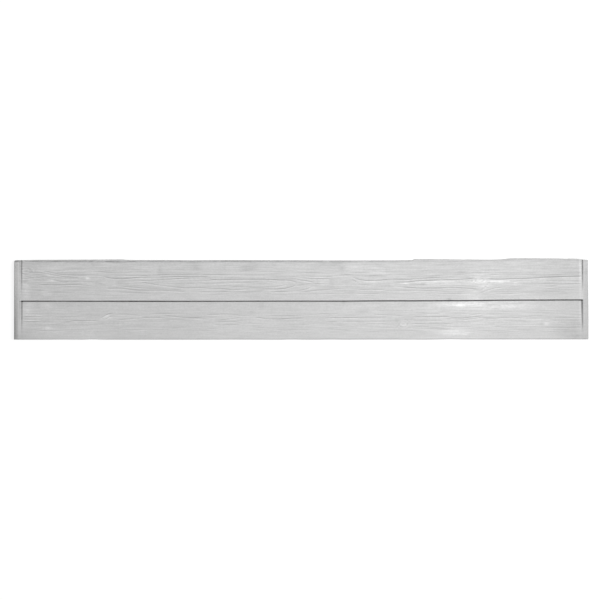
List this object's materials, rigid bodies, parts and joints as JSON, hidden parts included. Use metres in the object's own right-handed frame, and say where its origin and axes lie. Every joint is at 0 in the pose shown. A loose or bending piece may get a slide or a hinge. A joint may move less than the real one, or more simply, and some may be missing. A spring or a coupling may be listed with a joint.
{
  "type": "concrete fence board",
  "caption": "Long flat cast concrete fence board with overlapping timber-look planks on its face and plain tongues at both ends that drop into slotted posts.",
  "frame": {"origin": "middle of the flat back, on the floor that the board lies on", "axes": "+X along the board, +Y towards the long edge that is upper in a fence, +Z out of the planked face"},
  "size_m": [1.8, 0.25, 0.04],
  "materials": {
    "concrete": "matte light grey concrete, cast against a wood-grained mould"
  },
  "bodies": {
    "root": {"fence_board": "concrete"}
  },
  "joints": []
}
